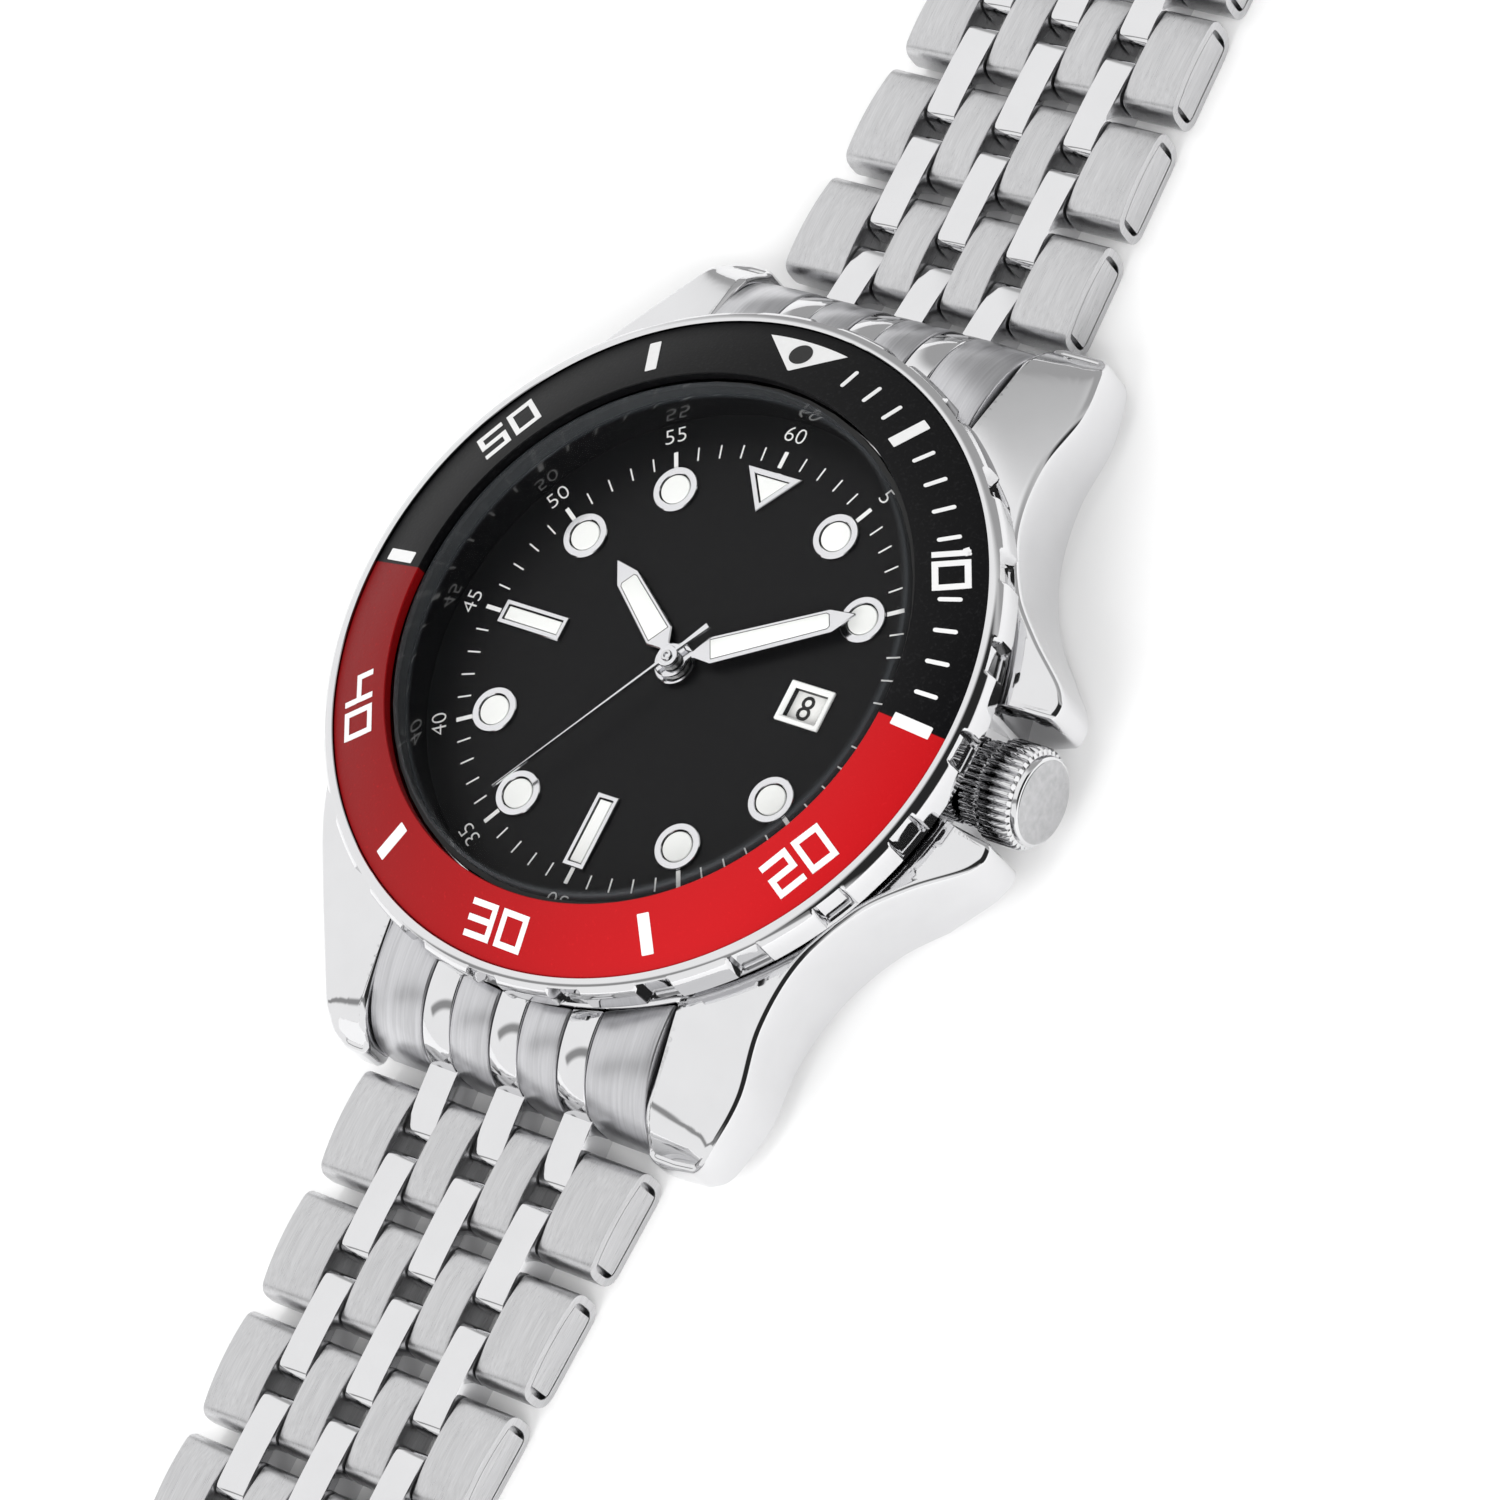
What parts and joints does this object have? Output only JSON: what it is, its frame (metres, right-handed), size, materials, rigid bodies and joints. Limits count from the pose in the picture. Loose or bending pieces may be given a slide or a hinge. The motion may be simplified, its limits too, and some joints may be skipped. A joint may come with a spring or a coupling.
{
  "type": "dive watch",
  "caption": "Steel quartz dive watch with rotating two-colour bezel, date window, crown guards and a tapering seven-wide link bracelet with folding clasp, opened flat.",
  "frame": {"origin": "centre of the case back's flat face", "axes": "+Z out through the dial, +Y towards 12 o'clock along the bracelet, +X towards 3 o'clock and the crown"},
  "size_m": [0.0448, 0.1842, 0.0119],
  "materials": {
    "polished_steel": "polished stainless steel",
    "brushed_steel": "brushed stainless steel",
    "spring_steel": "spring steel",
    "wheel_brass": "brass wheels",
    "coil_copper": "copper winding",
    "insert_anodising": "anodised aluminium, black and red",
    "black_lacquer": "black lacquer",
    "date_white": "white print",
    "gasket_nylon": "nylon gasket",
    "gasket_rubber": "rubber gasket",
    "holder_plastic": "moulded plastic",
    "movement_nickel": "plated metal",
    "mineral_glass": "clear mineral glass"
  },
  "bodies": {
    "case": {"case_middle": "polished_steel", "case_back": "polished_steel", "case_back_gasket": "gasket_rubber", "crystal": "mineral_glass", "crystal_gasket": "gasket_nylon", "rehaut_ring": "black_lacquer", "crown_tube": "polished_steel", "bezel_click_spring": "spring_steel", "dial": "black_lacquer", "movement_plate": "movement_nickel", "movement_holder": "holder_plastic", "battery": "polished_steel", "stepping_coil": "coil_copper", "end_link_12": "brushed_steel", "end_link_6": "brushed_steel", "lug_spring_bar_12": "polished_steel", "lug_spring_bar_6": "polished_steel"},
    "bezel": {"bezel_ring": "polished_steel", "bezel_insert": "insert_anodising"},
    "hour": {"hour_hand": "polished_steel", "hour_wheel": "wheel_brass"},
    "minute": {"minute_hand": "polished_steel", "center_wheel": "wheel_brass"},
    "second": {"second_hand": "polished_steel", "seconds_wheel": "wheel_brass"},
    "motion": {"minute_wheel": "wheel_brass"},
    "date": {"date_ring": "date_white"},
    "stem_slide": {"setting_lever": "spring_steel"},
    "crown": {"crown": "polished_steel", "winding_stem": "brushed_steel"},
    "links_12_p0": {"polished_row_12_0": "polished_steel"},
    "links_12_b1": {"brushed_row_12_1": "brushed_steel"},
    "links_12_p1": {"polished_row_12_1": "polished_steel"},
    "links_12_b2": {"brushed_row_12_2": "brushed_steel"},
    "links_12_p2": {"polished_row_12_2": "polished_steel"},
    "links_12_b3": {"brushed_row_12_3": "brushed_steel"},
    "links_12_p3": {"polished_row_12_3": "polished_steel"},
    "links_12_b4": {"brushed_row_12_4": "brushed_steel"},
    "links_12_p4": {"polished_row_12_4": "polished_steel"},
    "links_12_b5": {"brushed_row_12_5": "brushed_steel"},
    "links_12_p5": {"polished_row_12_5": "polished_steel"},
    "links_12_b6": {"brushed_row_12_6": "brushed_steel"},
    "links_12_p6": {"polished_row_12_6": "polished_steel"},
    "links_6_p0": {"polished_row_6_0": "polished_steel"},
    "links_6_b1": {"brushed_row_6_1": "brushed_steel"},
    "links_6_p1": {"polished_row_6_1": "polished_steel"},
    "links_6_b2": {"brushed_row_6_2": "brushed_steel"},
    "links_6_p2": {"polished_row_6_2": "polished_steel"},
    "links_6_b3": {"brushed_row_6_3": "brushed_steel"},
    "links_6_p3": {"polished_row_6_3": "polished_steel"},
    "links_6_b4": {"brushed_row_6_4": "brushed_steel"},
    "links_6_p4": {"polished_row_6_4": "polished_steel"},
    "links_6_b5": {"brushed_row_6_5": "brushed_steel"},
    "links_6_p5": {"polished_row_6_5": "polished_steel"},
    "links_6_b6": {"brushed_row_6_6": "brushed_steel"},
    "links_6_p6": {"polished_row_6_6": "polished_steel"},
    "clasp": {"clasp_cover": "brushed_steel"},
    "blade_middle": {"clasp_middle_blade": "polished_steel"},
    "blade_inner": {"clasp_inner_blade": "polished_steel"},
    "lock": {"clasp_lock": "polished_steel"}
  },
  "joints": [
    {"name": "bezel_turn", "type": "hinge", "parent": "case", "child": "bezel", "pos_m": [0, 0, 0.009], "axis": [0, 0, 1], "continuous": true},
    {"name": "minute_turn", "type": "hinge", "parent": "case", "child": "minute", "pos_m": [0, 0, 0.007], "axis": [0, 0, 1], "continuous": true},
    {"name": "hour_turn", "type": "hinge", "parent": "case", "child": "hour", "pos_m": [0, 0, 0.007], "axis": [0, 0, 1], "continuous": true},
    {"name": "second_turn", "type": "hinge", "parent": "case", "child": "second", "pos_m": [0, 0, 0.007], "axis": [0, 0, 1], "continuous": true},
    {"name": "motion_turn", "type": "hinge", "parent": "case", "child": "motion", "pos_m": [-0.00282, -0.00103, 0.0052], "axis": [0, 0, 1], "continuous": true},
    {"name": "date_turn", "type": "hinge", "parent": "case", "child": "date", "pos_m": [0, 0, 0.0066], "axis": [0, 0, 1], "continuous": true},
    {"name": "crown_pull", "type": "slide", "parent": "case", "child": "stem_slide", "axis": [1, 0, 0], "range_m": [0, 0.0012]},
    {"name": "crown_turn", "type": "hinge", "parent": "stem_slide", "child": "crown", "pos_m": [0.015, 0, 0.0039], "axis": [1, 0, 0], "continuous": true},
    {"name": "lug_pivot_12", "type": "hinge", "parent": "case", "child": "links_12_p0", "pos_m": [0, 0.02425, 0.0021], "axis": [-1, 0, 0], "range_deg": [-1, 33]},
    {"name": "pin_12_1", "type": "hinge", "parent": "links_12_p0", "child": "links_12_b1", "pos_m": [0, 0.02801, 0.00155], "axis": [-1, 0, 0], "range_deg": [-3, 11]},
    {"name": "pin_12_2", "type": "hinge", "parent": "links_12_b1", "child": "links_12_p1", "pos_m": [0, 0.03181, 0.00155], "axis": [-1, 0, 0], "range_deg": [-3, 11]},
    {"name": "pin_12_3", "type": "hinge", "parent": "links_12_p1", "child": "links_12_b2", "pos_m": [0, 0.03561, 0.00155], "axis": [-1, 0, 0], "range_deg": [-3, 11]},
    {"name": "pin_12_4", "type": "hinge", "parent": "links_12_b2", "child": "links_12_p2", "pos_m": [0, 0.03941, 0.00155], "axis": [-1, 0, 0], "range_deg": [-3, 11]},
    {"name": "pin_12_5", "type": "hinge", "parent": "links_12_p2", "child": "links_12_b3", "pos_m": [0, 0.04321, 0.00155], "axis": [-1, 0, 0], "range_deg": [-3, 11]},
    {"name": "pin_12_6", "type": "hinge", "parent": "links_12_b3", "child": "links_12_p3", "pos_m": [0, 0.04701, 0.00155], "axis": [-1, 0, 0], "range_deg": [-3, 11]},
    {"name": "pin_12_7", "type": "hinge", "parent": "links_12_p3", "child": "links_12_b4", "pos_m": [0, 0.05081, 0.00155], "axis": [-1, 0, 0], "range_deg": [-3, 11]},
    {"name": "pin_12_8", "type": "hinge", "parent": "links_12_b4", "child": "links_12_p4", "pos_m": [0, 0.05461, 0.00155], "axis": [-1, 0, 0], "range_deg": [-3, 11]},
    {"name": "pin_12_9", "type": "hinge", "parent": "links_12_p4", "child": "links_12_b5", "pos_m": [0, 0.05841, 0.00155], "axis": [-1, 0, 0], "range_deg": [-3, 11]},
    {"name": "pin_12_10", "type": "hinge", "parent": "links_12_b5", "child": "links_12_p5", "pos_m": [0, 0.06221, 0.00155], "axis": [-1, 0, 0], "range_deg": [-3, 11]},
    {"name": "pin_12_11", "type": "hinge", "parent": "links_12_p5", "child": "links_12_b6", "pos_m": [0, 0.06601, 0.00155], "axis": [-1, 0, 0], "range_deg": [-3, 11]},
    {"name": "pin_12_12", "type": "hinge", "parent": "links_12_b6", "child": "links_12_p6", "pos_m": [0, 0.06981, 0.00155], "axis": [-1, 0, 0], "range_deg": [-3, 11]},
    {"name": "lug_pivot_6", "type": "hinge", "parent": "case", "child": "links_6_p0", "pos_m": [0, -0.02425, 0.0021], "axis": [1, 0, 0], "range_deg": [-1, 33]},
    {"name": "pin_6_1", "type": "hinge", "parent": "links_6_p0", "child": "links_6_b1", "pos_m": [0, -0.02801, 0.00155], "axis": [1, 0, 0], "range_deg": [-3, 11]},
    {"name": "pin_6_2", "type": "hinge", "parent": "links_6_b1", "child": "links_6_p1", "pos_m": [0, -0.03181, 0.00155], "axis": [1, 0, 0], "range_deg": [-3, 11]},
    {"name": "pin_6_3", "type": "hinge", "parent": "links_6_p1", "child": "links_6_b2", "pos_m": [0, -0.03561, 0.00155], "axis": [1, 0, 0], "range_deg": [-3, 11]},
    {"name": "pin_6_4", "type": "hinge", "parent": "links_6_b2", "child": "links_6_p2", "pos_m": [0, -0.03941, 0.00155], "axis": [1, 0, 0], "range_deg": [-3, 11]},
    {"name": "pin_6_5", "type": "hinge", "parent": "links_6_p2", "child": "links_6_b3", "pos_m": [0, -0.04321, 0.00155], "axis": [1, 0, 0], "range_deg": [-3, 11]},
    {"name": "pin_6_6", "type": "hinge", "parent": "links_6_b3", "child": "links_6_p3", "pos_m": [0, -0.04701, 0.00155], "axis": [1, 0, 0], "range_deg": [-3, 11]},
    {"name": "pin_6_7", "type": "hinge", "parent": "links_6_p3", "child": "links_6_b4", "pos_m": [0, -0.05081, 0.00155], "axis": [1, 0, 0], "range_deg": [-3, 11]},
    {"name": "pin_6_8", "type": "hinge", "parent": "links_6_b4", "child": "links_6_p4", "pos_m": [0, -0.05461, 0.00155], "axis": [1, 0, 0], "range_deg": [-3, 11]},
    {"name": "pin_6_9", "type": "hinge", "parent": "links_6_p4", "child": "links_6_b5", "pos_m": [0, -0.05841, 0.00155], "axis": [1, 0, 0], "range_deg": [-3, 11]},
    {"name": "pin_6_10", "type": "hinge", "parent": "links_6_b5", "child": "links_6_p5", "pos_m": [0, -0.06221, 0.00155], "axis": [1, 0, 0], "range_deg": [-3, 11]},
    {"name": "pin_6_11", "type": "hinge", "parent": "links_6_p5", "child": "links_6_b6", "pos_m": [0, -0.06601, 0.00155], "axis": [1, 0, 0], "range_deg": [-3, 11]},
    {"name": "pin_6_12", "type": "hinge", "parent": "links_6_b6", "child": "links_6_p6", "pos_m": [0, -0.06981, 0.00155], "axis": [1, 0, 0], "range_deg": [-3, 11]},
    {"name": "clasp_pivot", "type": "hinge", "parent": "links_12_p6", "child": "clasp", "pos_m": [0, 0.07361, 0.00155], "axis": [-1, 0, 0], "range_deg": [-3, 11]},
    {"name": "blade_unfold", "type": "hinge", "parent": "clasp", "child": "blade_middle", "pos_m": [0, 0.10479, 0.0022], "axis": [-1, 0, 0], "range_deg": [-165, 0]},
    {"name": "blade_fold", "type": "hinge", "parent": "blade_middle", "child": "blade_inner", "pos_m": [0, 0.08148, 0.00299], "axis": [1, 0, 0], "range_deg": [-165, 0]},
    {"name": "lock_flip", "type": "hinge", "parent": "clasp", "child": "lock", "pos_m": [0, 0.10664, 0.00385], "axis": [1, 0, 0], "range_deg": [-100, 0]}
  ],
  "couplings": [
    {"joint": "hour_turn", "follows": "minute_turn", "ratio": 0.083333},
    {"joint": "motion_turn", "follows": "minute_turn", "ratio": -0.33333},
    {"joint": "blade_fold", "follows": "blade_unfold", "ratio": 1}
  ]
}
